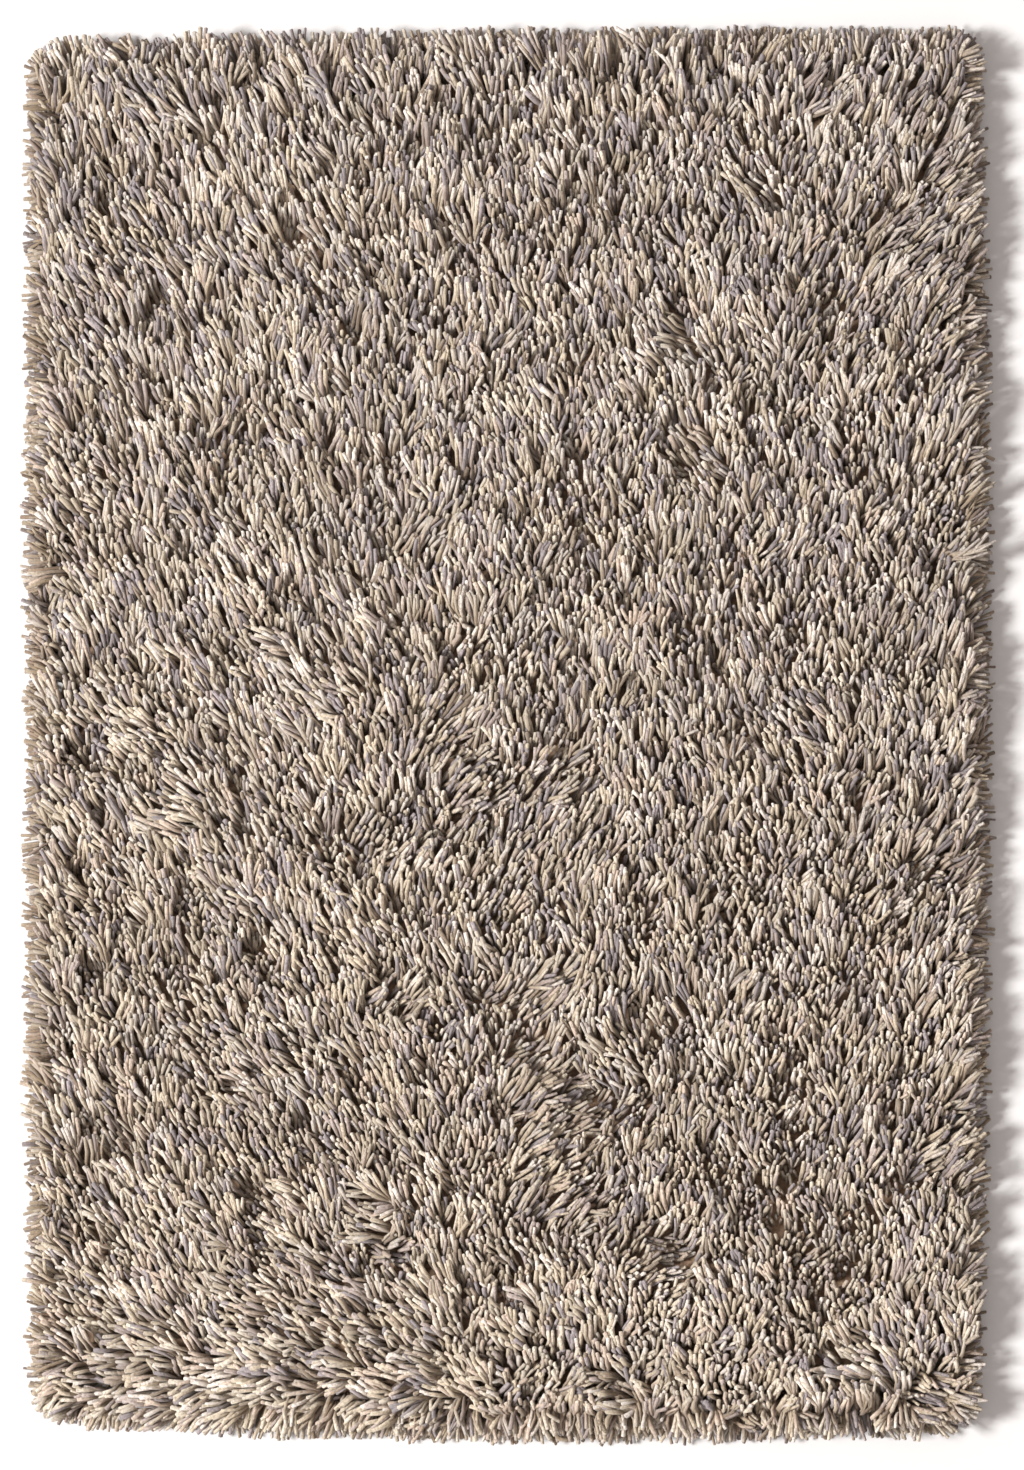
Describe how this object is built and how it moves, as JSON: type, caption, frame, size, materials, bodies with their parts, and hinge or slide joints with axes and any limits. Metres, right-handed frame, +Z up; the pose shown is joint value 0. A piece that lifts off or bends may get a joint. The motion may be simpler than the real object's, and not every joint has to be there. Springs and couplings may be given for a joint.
{
  "type": "shag rug",
  "caption": "Rectangular shag rug of thick felted wool yarns, lying flat, with a lumpy combed pile top and a rim of drooping locks.",
  "frame": {"origin": "on the floor, under the middle of the rug's overall box", "axes": "+X across the rug, +Y along its length, +Z up out of the pile"},
  "size_m": [1.34, 1.95, 0.058],
  "materials": {
    "wool_pile": "matt felted wool yarns in mixed cream, sand, mauve-grey and taupe"
  },
  "bodies": {
    "root": {"shag_rug": "wool_pile"}
  },
  "joints": []
}
